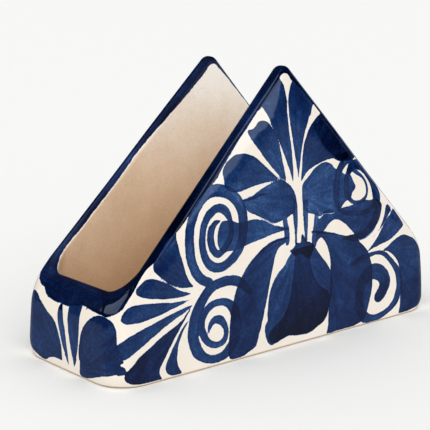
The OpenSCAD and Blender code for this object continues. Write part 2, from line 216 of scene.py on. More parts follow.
# The painter's brushwork: each entry is a layer, the paint's load where the brush lands and where it lifts,
# and then the outline of a petal, starting at its tip, where a place given twice is a sharp corner.
petals = [
    # fan of petals at the lower left
    ("wash", 1.0, 1.2, [(-45.6, 30.1), (-45.6, 30.1), (-50, 30.5), (-54, 31.8), (-58, 34.3), (-61.3, 37.3),
        (-62.6, 40.5), (-60, 44.4), (-56.5, 47.9), (-52.6, 51.6), (-51.9, 46.8), (-50.6, 41), (-49.6, 37),
        (-48.2, 33.3)]),
    ("wash", 0.85, 1.15, [(-46.8, 27.9), (-46.8, 27.9), (-52, 30), (-57, 32.9), (-60.2, 34.6), (-62.9, 35.5),
        (-64.5, 35.6), (-66.5, 35.2), (-68.8, 33.9), (-70.5, 33), (-70.4, 32.3), (-69.1, 31.1), (-66.5, 29.7),
        (-62.5, 28.8), (-57, 27.9), (-51, 27.6)]),
    ("wash", 0.8, 1.1, [(-45.8, 26.2), (-45.8, 26.2), (-50, 26), (-56, 26.4), (-62, 27.3), (-68, 27.8), (-72, 27.8),
        (-74.8, 26.8), (-77, 23.8), (-77, 23.8), (-75, 22.3), (-71, 21.9), (-65, 22.4), (-58, 23.6), (-51, 25.1)]),
    ("wash", 0.85, 1.05, [(-46, 24), (-46, 24), (-50, 23.6), (-55, 22.6), (-62, 21), (-68, 19.5), (-73, 18.1),
        (-76, 16.7), (-78.1, 15), (-77.3, 12.6), (-76.2, 10.4), (-72, 12.2), (-66, 15.1), (-60, 18), (-54, 20.5),
        (-50, 22)]),
    ("wash", 1.1, 1.8, [(-47.6, 22.6), (-49.5, 21.2), (-51, 19.6), (-55, 17.6), (-60, 15.6), (-65, 12.9), (-70, 10.3),
        (-73, 7.9), (-75.4, 5.8), (-76.2, 3.6), (-75.4, 1.9), (-72.5, 1.1), (-66, 1), (-64, 1), (-62.9, 2.9),
        (-60.6, 6.1), (-57.8, 9.9), (-55.2, 13.4), (-52.2, 17), (-49.3, 20.4)]),
    ("wash", 0.8, 1.15, [(-48.4, 18.8), (-48.4, 18.8), (-51, 17), (-54, 13), (-56.7, 9), (-58.8, 5.5), (-60, 2.8),
        (-59.6, 1.4), (-57, 1), (-54.6, 1.2), (-54, 2.6), (-54, 4.2), (-53.9, 7), (-53.2, 11), (-51.6, 14.5),
        (-49.7, 17)]),
    # large petals that hang either side of the tulip
    ("wash", 0.9, 1.3, [(0.3, 40.6), (-5, 40.7), (-10, 39.8), (-15, 37.4), (-19.3, 34.3), (-22.3, 31.3), (-24.2, 28.8),
        (-26, 25.8), (-27.6, 21.8), (-28.9, 17), (-29.7, 12), (-30.2, 6), (-31.1, 1.4), (-27, 1), (-24, 1.3),
        (-20.5, 2.4), (-17.8, 3.3), (-16.6, 4.9), (-15.7, 7), (-14.6, 9.8), (-13.2, 14), (-11.8, 18.5), (-10.5, 23),
        (-9.3, 27.5), (-8.2, 31), (-6.9, 34.9), (-5.6, 37), (-3.8, 38.2), (-1.5, 39.1)]),
    ("wash", 1.0, 1.2, [(11.6, 41.2), (14, 40.7), (18, 40.1), (24, 38.6), (30, 36.9), (35, 36.6), (37.5, 33.9),
        (40, 31.7), (42.3, 29.2), (43.8, 26.5), (44.9, 23), (45.2, 18.5), (44.8, 13.5), (43.4, 9), (42.2, 6),
        (41, 2.6), (38, 1.4), (34, 1), (26, 0.9), (20.4, 0.9), (20.4, 0.9), (20.5, 5), (20.6, 9), (21, 14), (21.5, 19),
        (21.7, 24.5), (21.8, 28), (21, 32), (19.6, 35.3), (17.8, 37.5), (16.6, 38.3), (15.2, 37.6), (14, 36.5),
        (13.2, 38.8)]),
    # the tulip's two outer petals and its middle one
    ("second", 0.85, 1.2, [(3, 35.5), (0.4, 34.1), (-2.3, 30.7), (-5.7, 28.1), (-8.6, 24.7), (-10.4, 20), (-11.2, 15),
        (-11.2, 11.6), (-12.1, 10.8), (-12.7, 8.5), (-12.3, 6), (-11.3, 3.5), (-9.8, 2.2), (-7, 2.7), (-4, 3.4),
        (-1, 4), (3, 3.4), (7, 3), (11, 3.2), (15, 4.7), (18.2, 6.1), (20.3, 8.8), (21.2, 12), (22.4, 16), (23, 19.5),
        (22.9, 22.5), (21.9, 24.5), (20.2, 27.2), (17.6, 30.2), (15, 33), (12.6, 35.5), (8, 36)]),
    ("dark", 0.35, 1.2, [(6, 36), (3.2, 33), (2.2, 28), (1.2, 22), (-0.6, 16), (-4, 11), (-8.5, 8.5), (-10.8, 6),
        (-9.4, 3), (-4, 3.6), (-1, 4.2), (3, 3.6), (8, 3.2), (13, 4), (17, 5.8), (20, 9), (21.2, 13), (20.5, 17),
        (16.5, 19.5), (13.4, 23), (11.4, 28), (10, 33)]),
    # ragged knot over the tulip
    ("dark", 1.1, 1.3, [(0.2, 35.5), (2, 36.2), (3.4, 37.6), (3.2, 38.5), (4.8, 37.9), (6.1, 38), (6.4, 40.3),
        (7, 40.7), (8, 39.4), (9.2, 37.9), (11, 37.2), (12.8, 36), (13, 34.6), (11.2, 32), (10.9, 30.8), (8, 30.4),
        (4, 32.6), (1.5, 34.4)]),
    # leaves to the left of the stem
    ("wash", 0.75, 1.0, [(-22.3, 57.1), (-18.5, 57.5), (-16, 58.8), (-12, 60.4), (-7, 61.8), (-3.2, 62), (-0.4, 60.6),
        (2, 58.4), (3.7, 55.4), (4.2, 52), (3.4, 50), (1, 48.7), (-2, 47.6), (-5, 46.9), (-8, 47.1), (-12, 49.1),
        (-16, 50.8), (-19, 52.2), (-21, 54), (-22.1, 55.4)]),
    ("wash", 0.75, 0.8, [(0.3, 43.5), (-4, 45), (-7.4, 46.1), (-12, 48.2), (-16, 49.5), (-20.3, 49.5), (-24.5, 49.3),
        (-26, 49.8), (-28, 50.7), (-30, 50.9), (-32.3, 50.8), (-33.6, 49), (-34.4, 46), (-34.3, 43), (-33.2, 40.7),
        (-31.5, 39.6), (-30, 40), (-26, 39.9), (-22, 40.6), (-18, 41.4), (-13, 42.1), (-8, 43), (-3, 43.4)]),
    ("wash", 0.85, 1.1, [(-2.6, 62.6), (-5.4, 63.2), (-9.4, 66.4), (-12.4, 68.8), (-15.8, 71.3), (-20, 73.1),
        (-24, 73.2), (-26.7, 72.2), (-29.2, 70.1), (-30.5, 68), (-30.4, 65), (-30.1, 62.5), (-28, 60.8), (-24.5, 60.2),
        (-18, 61.2), (-13, 61.8), (-8, 62.1)]),
    # fan at the top
    ("wash", 0.75, 1.2, [(-1, 61.7), (-1, 61.7), (-3.4, 62.8), (-6.5, 65.7), (-10, 69.2), (-13.4, 73), (-16.3, 76.6),
        (-18.1, 79.3), (-18.7, 81.1), (-18.7, 81.1), (-16.7, 81.2), (-14.9, 82.1), (-13.9, 83.4), (-12, 83.9),
        (-10.1, 83.5), (-8.3, 81.9), (-6.2, 79), (-4.7, 76), (-3.5, 72), (-2.5, 68), (-1.6, 64.5)]),
    ("wash", 0.75, 1.2, [(2.5, 60.4), (2.5, 60.4), (1.3, 63.9), (-0.2, 67.4), (-1.8, 70.9), (-3.7, 74.9), (-5.8, 78.4),
        (-7.6, 82), (-9.3, 85.8), (-11.6, 89.4), (-10, 92), (-6, 96.2), (-3, 98.8), (-3, 98.8), (-0.9, 95.3), (0, 91),
        (0.2, 85), (0.8, 79), (1.6, 74.5), (2.2, 69), (2.6, 64.5)]),
    ("wash", 0.8, 1.2, [(5.2, 62), (5.2, 62), (4.5, 66), (3.6, 70), (2.7, 75), (1.8, 79.5), (1.1, 84), (0.9, 88),
        (1.3, 92), (2.3, 94.8), (3.9, 97.2), (4.4, 100.5), (8, 97.5), (12.5, 92.5), (15, 89.6), (13.5, 86.2),
        (12.6, 84), (11.7, 83.4), (10.3, 80.9), (8.8, 78), (7.6, 74.5), (6.7, 70.5), (6, 66)]),
    ("wash", 0.8, 1.9, [(6.5, 60), (6.5, 60), (6.9, 64), (7.3, 68), (7.9, 72.5), (9.3, 76), (11.2, 79.1), (13.7, 81.3),
        (16, 82.9), (17.6, 83.6), (19.6, 85), (22, 84), (27, 79), (32, 74), (38, 68), (37, 66), (34, 65.2), (30, 65.2),
        (26.7, 65.6), (24, 66.9), (20, 66.8), (15, 65.7), (11, 64.3), (8.5, 62.4)]),
    # leaves to the right of the stem
    ("second", 0.7, 1.0, [(7, 55), (7.3, 59.2), (10, 61.4), (12.5, 63.6), (15, 65.1), (18, 66), (20.5, 65.9),
        (22.6, 65), (24.3, 63.2), (26.8, 62.2), (29.6, 60.4), (32, 60.4), (33.6, 59.2), (34.6, 57.2), (36, 55.3),
        (35.2, 53.8), (34, 53), (33.3, 51.6), (31.7, 50.6), (30, 50), (28.6, 49), (27, 47.4), (23.5, 46.6), (18.5, 47),
        (16.5, 46.2), (13.5, 47.2), (10, 48.4), (7.6, 50.5)]),
    ("wash", 0.85, 1.1, [(13, 42), (14.6, 44.9), (16.5, 45.6), (18.5, 46.6), (23, 46.3), (27, 47.6), (30, 47.9),
        (34, 48.2), (38, 49), (41.5, 49.2), (44.5, 48.6), (48, 48.8), (51.6, 46.4), (50.6, 43), (49, 40), (46.5, 37.6),
        (42, 35), (38, 34.4), (35, 37), (32.8, 38.9), (30, 41.4), (27, 43.2), (24, 43.9), (21, 42.9), (18, 40.5),
        (15, 40.6)]),
    # small fan and the last petal at the lower right
    ("wash", 0.85, 1.2, [(42.6, 29), (42.6, 29), (48, 30.2), (54, 31.4), (59, 33), (62.5, 34.6), (64.8, 36.2),
        (62.8, 39.6), (60, 43), (58.6, 43.2), (56.8, 41.6), (54, 39.9), (51, 37), (47.5, 33.1)]),
    ("wash", 0.85, 1.2, [(45.3, 33.8), (45.3, 33.8), (49, 36.4), (51.2, 39.2), (53, 42.2), (54.7, 45.4), (56.8, 44.6),
        (57.2, 43), (54.6, 40.8), (51.5, 38), (48, 35.4)]),
    ("wash", 0.95, 1.35, [(50.8, 27.7), (54, 29.1), (58, 31), (62, 32.1), (65, 32.1), (67.6, 31.2), (71.3, 29.4),
        (74.8, 26.6), (77.4, 22.8), (79.5, 18), (80, 13), (79.5, 8), (77.5, 4), (74.5, 2), (70, 1.2), (66.5, 1.1),
        (63.6, 1.3), (62.1, 3.6), (61.6, 6.5), (61.8, 9.5), (61.8, 13), (61.4, 18), (60.6, 21.3), (58.5, 24.2),
        (55.7, 26.5), (53.2, 27.6)]),
    # the left end wall, its first petal round the near corner with a dry end
    ("wash", 1.1, 1.3, [(-97.2, 3), (-98, 8), (-97.4, 12), (-96.7, 15), (-94.9, 18.1), (-92.7, 20.6), (-89.7, 22.6),
        (-86, 23.8), (-82.8, 23.9), (-80, 23), (-78.6, 21.2), (-78.2, 18.6), (-78.3, 15.5), (-77.7, 13), (-76.9, 11),
        (-76.2, 9.5), (-77.1, 9), (-77.1, 8.2), (-75.8, 7.6), (-75.3, 6.3), (-74.7, 5.6), (-77, 5.2), (-80, 4.6),
        (-84, 3.5), (-87, 2.2), (-90, 1), (-94, 0.7), (-96, 1.3)]),
    ("wash", 0.85, 1.05, [(-100.4, 3), (-100.4, 3), (-101.6, 5.5), (-103, 10), (-104, 15), (-104.4, 20),
        (-104.2, 25.6), (-97.6, 25.6), (-97.3, 21), (-97.6, 16), (-98.5, 10), (-99.7, 5.5)]),
    ("wash", 0.75, 1.0, [(-103.7, 2.7), (-103.7, 2.7), (-105.3, 4.8), (-107.4, 8.5), (-109.4, 13.5), (-110.6, 18),
        (-110.8, 21.5), (-109.7, 23.4), (-108, 21.3), (-107, 18), (-105.8, 13), (-104.9, 8), (-104.1, 4.6)]),
    ("dark", 0.7, 0.7, [(-109.8, 23.4), (-110.7, 21.7), (-109.6, 20.8), (-108.3, 21.4)]),
    ("wash", 1.1, 1.25, [(-107.9, 3.8), (-107.9, 5.5), (-108.6, 9), (-110, 12.5), (-112, 15.9), (-114.3, 17.6),
        (-117.3, 19), (-120.3, 20.5), (-123.3, 21.9), (-126, 23.4), (-128.5, 24), (-130.5, 23), (-131.6, 18),
        (-131.4, 12), (-130, 6.5), (-127.5, 2.8), (-124, 1.3), (-121, 1), (-118.5, 1.6), (-116, 2.7), (-113, 3.7),
        (-110, 3.8)]),
]

# The long strokes are a layer, the loads, and the brush's path with half the width that it leaves.
strokes = [
    # upper left spiral, from its inner end outwards
    ("second", 0.85, 0.9, [(-33.2, 51.1, 0.3), (-35.2, 50.7, 0.9), (-37.1, 48.8, 1.4), (-37.7, 46, 1.5),
        (-37.1, 42.8, 1.5), (-35.7, 40.5, 1.4), (-33.8, 39.7, 1.35), (-31.5, 41.2, 1.3), (-28.9, 43.8, 1.2),
        (-27.9, 47, 1), (-28.5, 51, 1.1), (-30.6, 54.4, 1.5), (-34, 55.7, 1.5), (-37.9, 53.8, 1.5), (-40.5, 50, 1.4),
        (-41.4, 45, 1.4), (-40.8, 40.6, 1.5), (-38.7, 37, 1.7), (-35.4, 35.1, 1.7), (-31.6, 35.2, 1.7),
        (-27.8, 37, 1.8), (-24.5, 40, 1.9), (-22.7, 44, 2), (-22.2, 49, 2.15), (-23.1, 54, 2.15), (-25.8, 58, 2.15),
        (-30, 60.9, 2.2), (-35.5, 61.8, 2.1), (-40.2, 59.7, 1.9), (-43.8, 55.3, 1.75), (-46.1, 50, 1.75),
        (-46.9, 44.5, 1.9), (-46.5, 39.5, 1.95), (-44.8, 35.2, 1.95), (-41.8, 31.9, 1.75), (-38.5, 30.4, 1.5)]),
    # lower left spiral
    ("second", 0.85, 1.0, [(-39.5, 12.7, 0.2), (-38.8, 15, 0.9), (-36.8, 16.7, 1.3), (-34, 16.3, 1.6),
        (-31.9, 13.8, 1.2), (-31.3, 11.2, 1.05), (-32.5, 8.6, 1.2), (-35.5, 7.7, 1.1), (-38.6, 8.6, 1.2),
        (-41.3, 11.2, 1.5), (-42.7, 14.7, 1.65), (-42.4, 18, 1.65), (-40.4, 20.8, 1.45), (-37, 22.5, 1.3),
        (-33, 22.6, 1.3), (-29.5, 21.2, 1.6), (-27.1, 18, 2.1), (-26.5, 13.8, 2.3), (-27.1, 9.2, 2.2), (-29.5, 5.5, 2),
        (-33.3, 3.4, 1.55), (-37.6, 2.9, 1.5), (-41.7, 4, 1.9), (-44.8, 7.2, 2.3), (-46.5, 12, 2.4), (-46.1, 17, 2.4),
        (-44.3, 21.4, 2.25), (-41.5, 25.3, 2.05), (-37.9, 28.3, 1.85), (-33.5, 29.5, 1.8), (-28.5, 29.5, 1.8),
        (-24.5, 28.2, 1.8), (-21.5, 25.8, 1.5), (-19.5, 23.5, 0.9)]),
    # upper right spiral: its thin ring, the broad arm under the rim and the dark sweeps below and across
    ("second", 0.8, 0.85, [(34.9, 62.2, 1.5), (37, 60.2, 0.85), (39.6, 58.7, 0.6), (41.6, 56.8, 0.6),
        (42.8, 54.2, 0.65), (42.6, 51.6, 0.7), (40.9, 49.6, 0.8), (37.9, 48.7, 0.75), (34.8, 49.1, 0.7),
        (32.6, 50.4, 0.9)]),
    ("second", 1.15, 0.9, [(32, 60.7, 1.3), (34.2, 62.8, 1.8), (37.8, 63.1, 1.9), (41.4, 61.4, 1.7), (44.8, 58.2, 1.8),
        (47.4, 54.6, 2.1), (48.5, 50.8, 2.4), (48.5, 47.3, 2.4)]),
    ("second", 0.95, 0.8, [(34, 66.1, 1.4), (30.9, 65.4, 1.7), (28, 63.6, 1.7), (26, 60.8, 1.5)]),
    # where the ring went over the leaves a second time
    ("dark", 0.35, 0.35, [(28.8, 64.4, 1), (26.7, 62.2, 1.5), (25.4, 59, 1.7), (25, 55, 1.7), (25.2, 51.5, 1.55),
        (26, 48.9, 1)]),
    ("dark", 0.3, 0.4, [(32.4, 50.5, 0.6), (31.2, 52.3, 1.2), (30.5, 55, 1.45), (30.7, 58, 1.5), (32, 60.6, 1.4),
        (34.2, 62.3, 1.4), (37.2, 62.8, 1.2), (39.5, 61.8, 0.5)]),
    ("dark", 0.3, 0.4, [(26, 47.5, 0.6), (29, 46, 0.9), (33, 45, 1), (38, 44.4, 1.05), (42.7, 44.9, 1),
        (45.9, 46.5, 0.9), (47.2, 48.3, 0.6)]),
    ("dark", 0.35, 0.5, [(47.7, 44.8, 0.4), (47.3, 42.3, 1.6), (45.7, 39.3, 2.1), (42.8, 37, 2), (39, 35.6, 1.7),
        (35, 35.4, 1.4), (31, 35.8, 0.8), (28.5, 36, 0.3)]),
    ("dark", 0.35, 0.3, [(18.2, 47, 0.5), (20.5, 47.4, 0.9), (22.8, 47.3, 0.6)]),
    # pools at the end of the right petal of the top fan
    ("dark", 0.4, 0.6, [(14.8, 79.4, 1), (18.8, 78, 3.4), (22.4, 75, 4.5), (25, 71.3, 3.6), (26.6, 68.8, 1.2)]),
    ("dark", 0.9, 0.9, [(25.4, 67.8, 0.5), (27.3, 66.9, 1.1), (30, 66.9, 1.3), (32.6, 67.6, 0.9)]),
    # lower right spiral, from its dark inner end
    ("dark", 0.55, 0.1, [(47.9, 9.8, 1.2), (48.9, 10.2, 2.1), (51, 12.3, 2.5), (52.3, 15.4, 2.5), (51.4, 17.6, 1.6)]),
    ("second", 0.95, 0.9, [(47.9, 9.7, 1.5), (48.9, 10.1, 2.4), (51.1, 12.2, 2.8), (52.5, 15.4, 3.1),
        (50.2, 18.9, 3.2), (46.3, 20.4, 3.1), (42.5, 19.7, 2.9), (39.6, 17.2, 2.7), (38.1, 13.5, 2.4),
        (37.7, 9.4, 2.3), (38.9, 5.4, 2.2), (42.3, 2.8, 1.7), (47, 2, 1.2), (52.1, 2.4, 1.4), (56.7, 4.6, 1.5),
        (59.8, 8.2, 1.7), (61.2, 13, 1.8), (60.2, 17.8, 1.6), (57.5, 21.6, 1.2), (54.2, 24.9, 1), (51, 27, 0.85),
        (47.3, 27.6, 0.75), (43.5, 27.3, 0.85), (39, 26.8, 1), (35, 25.7, 0.9), (33.2, 25.2, 0.5)]),
    # stems between the tulip and the fan
    ("wash", 0.75, 0.85, [(3.2, 52, 1.25), (3.5, 47, 1.05), (3.6, 42, 0.65), (3.6, 37.5, 0.4)]),
    ("wash", 0.75, 0.85, [(8.6, 52, 1.5), (8.7, 47, 1.25), (8.8, 42, 0.8), (8.8, 38.5, 0.7)]),
    ("wash", 0.7, 0.8, [(-2.1, 48, 1.1), (-1.1, 43, 1.3), (-0.8, 40, 1.2), (-0.8, 38.6, 0.8)]),
    ("wash", 0.7, 0.8, [(14.4, 47, 1.1), (13.9, 43, 1.1), (13.2, 39, 1.3), (12.9, 36, 1.2)]),
    # darker edges where the brush was pressed or went over twice
    ("dark", 0.5, 0.4, [(-22, 56.9, 0.4), (-18, 57.4, 0.6), (-13.5, 57.9, 0.5), (-9.5, 57.6, 0.2)]),
    ("dark", 0.5, 0.35, [(0.2, 43.5, 0.3), (-3.5, 44.6, 0.5), (-7.5, 46, 0.3), (-11, 47.3, 0.1)]),
    ("dark", 0.6, 0.3, [(0.3, 40.5, 0.4), (-5, 40.4, 0.5), (-10, 39.2, 0.6), (-15, 36.7, 0.3)]),
    ("dark", 0.6, 0.3, [(11.7, 41.2, 0.3), (15, 40.4, 0.5), (19, 39.7, 0.4), (26, 38, 0.2)]),
    ("dark", 0.3, 0.3, [(2.9, 54.5, 0.4), (3.3, 51.5, 0.8), (2.6, 49.5, 0.4)]),
    # brush hairs that strayed below the band on the left end
    ("wash", 1.2, 1.0, [(-93.5, 26.6, 0.5), (-93.9, 25.2, 0.3), (-94.3, 24, 0.1)]),
    ("wash", 1.2, 1.0, [(-92.6, 26.4, 0.4), (-92.8, 25, 0.15)]),
    # thin wash that the rim's band leaves below itself on the left slope
    ("wash", 0.3, 0.35, [(-46, 56.2, 0.6), (-42, 60.5, 1.3), (-37, 65.3, 1.4), (-32, 70.2, 1.2), (-29, 73.2, 0.5)]),
]

# How far the blue band reaches from the rim's top over the outer edge, at places round the body that the
# other half repeats, and over the inner edge, at places all round, and how heavily the band is laid
band_places = [-133, -129, -125, -122, -119, -116, -112, -109, -105, -101, -98, -93, -88, -84, -80, -76, -72, -70, -68,
    -65, -62, -57, -54, -52, -48, -45, -42, -35, -33, -31, -27, -23, -18, -14, -11, -6, -4, -2.5, 0, 3, 6, 9, 15, 25,
    40, 60, 77]
band_reach = [1.4, 0.9, 1.5, 2.6, 3.2, 3.4, 3.5, 3.5, 3.5, 3, 2.4, 2.6, 2.8, 2.9, 3.1, 3.3, 2.4, 1.8, 1.5, 2, 2.8, 2.4,
    2.9, 3.6, 4.1, 3.9, 3.7, 4.8, 5, 4.4, 4.2, 3.8, 3.9, 3.7, 4.2, 4.6, 4.4, 4.1, 3.9, 4, 3.4, 3, 2.6, 2.4, 2.2, 1.9,
    1.7]
band_load_places = [-133, -105, -88, -76, -66, -58, -50, -40, -30, -15, -8, 0, 10, 40, 77]
band_load = [1.5, 1.55, 1.75, 1.8, 2.1, 2.6, 2.7, 2, 1.4, 1.45, 1.8, 2, 1.5, 1.4, 1.5]
lining_places = [-95, -70, -40, 0, 40, 70, 105, 140, 170, 190, 203, 210, 220, 234, 242, 250, 254, 260, 270, 275, 279,
    297, 311, 316]
lining_reach = [3.4, 3, 2.6, 3.6, 2.8, 3, 2.6, 3, 2.4, 2.2, 2.8, 3.9, 3.8, 2.7, 1.9, 1.8, 2.1, 2.4, 2.3, 2.5, 2.1, 1.9,
    1.9, 2.8]
layer_names = ["wash", "second", "dark"]
# Distance outside the paint's edge from which on all places count alike
unpainted = 4.0
# Place round the body where the painting starts over
repeat_start = -133.1
# Distance from a petal's tip where its bristle marks have their true width
fan_radius = 14


def smooth_path(points, closed, steps=7):
    """Catmull-Rom curve through the points: each span is the cubic that leaves and arrives along the line
    between its neighbours."""
    p = np.array(points, float)
    before, after = np.roll(p, 1, 0), np.roll(p, -1, 0)
    if not closed:
        before, after = np.r_[p[:1], p[:-1]], np.r_[p[1:], p[-1:]]
    a, b = p, after
    ta, tb = (after - before) / 2, (np.roll(after, -1, 0) - p) / 2
    if not closed:
        tb[-2] = (p[-1] - p[-2]) / 2
        a, b, ta, tb = a[:-1], b[:-1], ta[:-1], tb[:-1]
    doubled = np.linalg.norm(np.roll(p, -1, 0) - p, axis=1) < 1e-9
    if closed:
        sharp = doubled | np.roll(doubled, 1)
        ta[sharp] = (b - a)[sharp] / 2
        tb[np.roll(sharp, -1)] = (b - a)[np.roll(sharp, -1)] / 2
    t = np.linspace(0, 1, steps, endpoint=False)[None, :, None]
    a, b, ta, tb = a[:, None], b[:, None], ta[:, None], tb[:, None]
    leaving = (2 * t**3 - 3 * t**2 + 1) * a + (t**3 - 2 * t**2 + t) * ta
    curve = (leaving + (3 * t**2 - 2 * t**3) * b + (t**3 - t**2) * tb).reshape(-1, p.shape[1])
    if not closed:
        curve = np.r_[curve, p[-1:]]
    keep = np.r_[True, np.linalg.norm(np.diff(curve[:, :2], axis=0), axis=1) > 1e-6]
    return curve[keep]


def near_path(at, path, closed):
    """For each place, the distance to the nearest part of the path, that part's arc length, the side that the
    place lies on, and the path's third column there; then the length of the whole path. A long stroke's
    nearest part is the one whose painted half width leaves the place furthest inside."""
    a = path
    b = np.roll(path, -1, 0) if closed else path[1:]
    a = a if closed else a[:-1]
    d = b[:, :2] - a[:, :2]
    length = np.maximum(np.linalg.norm(d, axis=1), 1e-9)
    start = np.r_[0, np.cumsum(length)[:-1]]
    gap = at[:, None, :] - a[None, :, :2]
    t = np.clip((gap * d).sum(-1) / length**2, 0, 1)
    away = gap - t[..., None] * d
    far = np.sqrt((away**2).sum(-1))
    wide = a[None, :, 2] + (b - a)[None, :, 2] * t if path.shape[1] > 2 else 0 * t
    best = np.argmin(far - wide, axis=1)
    row = np.arange(len(at))
    side = d[best, 0] * gap[row, best, 1] - d[best, 1] * gap[row, best, 0]
    travel = start[best] + t[row, best] * length[best]
    return far[row, best], travel, np.sign(side), wide[row, best], start[-1] + length[-1]


def paint(s, z):
    """For each place on the outer faces and each layer: how far outside the paint's edge it lies (negative
    within), the brush's travel and sideways place there, and the paint's load; then how far the rim's band
    reaches over each place and its load. A petal's brush starts at its tip and fans out, and a place is
    within it if a level line to the right crosses its outline an odd number of times. The back and the right
    end repeat the front and the left end half a turn further on, a little out of true."""
    repeat = np.mod(s - repeat_start, half_way) + repeat_start
    far_half = (np.abs(repeat - s) > 1).astype(float)
    x = repeat + far_half * 0.6 * np.sin(repeat / 11 + z / 15)
    y = z + far_half * 0.5 * np.sin(repeat / 9 + 1)
    place = np.stack([x, y], -1)
    result = {}
    for layer in layer_names:
        edge = np.full(len(x), unpainted)
        flow = np.zeros((len(x), 3))
        for name, near_load, far_load, points in petals + strokes:
            if name != layer:
                continue
            outline = len(points[0]) == 2
            path = smooth_path(points, outline)
            reach = unpainted if outline else unpainted + path[:, 2].max()
            low, high = path[:, :2].min(0) - reach, path[:, :2].max(0) + reach
            inside = np.where(((place > low) & (place < high)).all(1))[0]
            if not len(inside):
                continue
            at = place[inside]
            away, travel, side, wide, length = near_path(at, path, outline)
            if outline:
                a, b = path[None, :, :2], np.roll(path, -1, 0)[None, :, :2]
                spans = (a[..., 1] > at[:, None, 1]) != (b[..., 1] > at[:, None, 1])
                rise = np.where(np.abs(b - a)[..., 1] < 1e-12, 1e-12, (b - a)[..., 1])
                cut = a[..., 0] + (at[:, None, 1] - a[..., 1]) * (b - a)[..., 0] / rise
                within = (spans & (cut > at[:, None, 0])).sum(1) % 2 == 1
                own = np.where(within, -away, away)
                hub = path[0, :2]
                spread = at - hub
                middle = path[:, :2].mean(0) - hub
                along = np.hypot(spread[:, 0], spread[:, 1])
                aside = spread[:, 1] * middle[0] - spread[:, 0] * middle[1]
                across = np.arctan2(aside, spread @ middle + 1e-9) * fan_radius
                share = np.clip(along / (2 * np.hypot(*middle)), 0, 1)
            else:
                own = away - wide
                along, across = travel, side * away
                share = travel / length
            better = own < edge[inside]
            chosen = inside[better]
            edge[chosen] = own[better]
            load = near_load + (far_load - near_load) * share**1.5
            flow[chosen] = np.stack([along, across, load], -1)[better]
        result[layer] = (edge, flow)
    return result, np.interp(repeat, band_places, band_reach), np.interp(repeat, band_load_places, band_load)


def lay_piece(name, points, normals, marks, path_closed=False, capped=True):
    """Makes a closed mesh from a grid of sections (rows run round a section, which closes on itself), with
    places that coincide joined, thin faces dropped, the worked-out normals and the painter's marks."""
    m, n = points.shape[:2]
    flat = points.reshape(-1, 3)
    steps_per_mm = 2e4
    key = np.round(flat * steps_per_mm).astype(np.int64)
    _, first, index = np.unique(key, axis=0, return_index=True, return_inverse=True)
    grid = index.reshape(m, n)
    j = np.arange(m if path_closed else m - 1)[:, None]
    k = np.arange(n)[None, :]
    a, b = grid[j, k], grid[(j + 1) % m, k]
    c, d = grid[(j + 1) % m, (k + 1) % n], grid[j, (k + 1) % n]
    faces = np.concatenate([np.stack(corners, -1).reshape(-1, 3) for corners in ([a, b, c], [a, c, d])])
    faces = faces[(faces != np.roll(faces, -1, 1)).all(1)]
    ends = []
    if capped and not path_closed:
        for ring in (grid[0], grid[-1][::-1]):
            keep = ring != np.roll(ring, 1)
            ends.append(ring[keep].tolist())
    mesh = bpy.data.meshes.new(name)
    mesh.from_pydata((flat[first] * millimetre).tolist(), [], faces.tolist() + ends)
    mesh.polygons.foreach_set("use_smooth", np.ones(len(mesh.polygons), bool))
    for mark, values in marks.items():
        values = np.asarray(values, np.float32)
        kind = "FLOAT" if values.ndim == 2 else "FLOAT_VECTOR"
        slot = mesh.attributes.new(mark, kind, "POINT")
        values = values.reshape(m * n, -1)[first]
        slot.data.foreach_set("value" if kind == "FLOAT" else "vector", values.ravel())
    mesh.normals_split_custom_set_from_vertices(normals.reshape(-1, 3)[first].tolist())
    mesh.update()
    piece = bpy.data.objects.new(name, mesh)
    bpy.context.scene.collection.objects.link(piece)
    return piece


def outer_marks(s, z, down, inner_row):
    """The marks that the glaze reads: layers of paint, the band round the rim and where the bare inside
    starts. Rows of the inner face carry no brushwork but the band, whose load swings by 0.15 along its way."""
    shape = s.shape
    layers, band, load = paint(s.ravel(), z.ravel())
    marks = {}
    bare = np.broadcast_to(inner_row, shape)
    lining = np.interp(s, lining_places, lining_reach, period=whole_way)
    for layer, (edge, flow) in layers.items():
        marks["edge_" + layer] = np.where(bare > 0, unpainted, edge.reshape(shape))
        marks["flow_" + layer] = flow.reshape(shape + (3,))
    outside_band = down - np.where(bare > 0, lining, band.reshape(shape))
    marks["edge_band"] = np.clip(outside_band, -unpainted, unpainted)
    # The band's streaks on the inner face are 6 mm away from those on the outer face
    marks["flow_band"] = np.stack([s, down * 0.8 + bare * 6, load.reshape(shape) + 0.15 * np.sin(s / 7)], -1)
    marks["inside"] = bare * 1.0
    return marks


def lay_wall(name, start, end, pitch, face_rows):
    """One wall from mitre to mitre, its section climbing the outer face and going down the inner one, with a
    number of rows for each of its five parts."""
    s = np.linspace(start, end, int(round((end - start) / pitch)) + 1)
    points, normals, downs, inner = [], [], [], []
    for part, count in enumerate((face_rows, 12, 9, 6, 22)):
        t = np.linspace(0, 1, count)
        if part in (1, 2):
            t = t[1:]
        ss, tt = np.meshgrid(s, t, indexing="ij")
        point, down = wall_point(ss, part, tt)
        points.append(point)
        downs.append(down)
        normals.append(wall_normal(ss, part, tt))
        inner.append(np.full(len(t), 0.0 if part < 2 else 1.0))
    points, normals, downs = (np.concatenate(parts, 1) for parts in (points, normals, downs))
    inner = np.concatenate(inner)[None, :]
    ss = np.repeat(s[:, None], points.shape[1], 1)
    marks = outer_marks(ss, points[..., 2], downs, inner)
    return lay_piece(name, points, normals, marks)


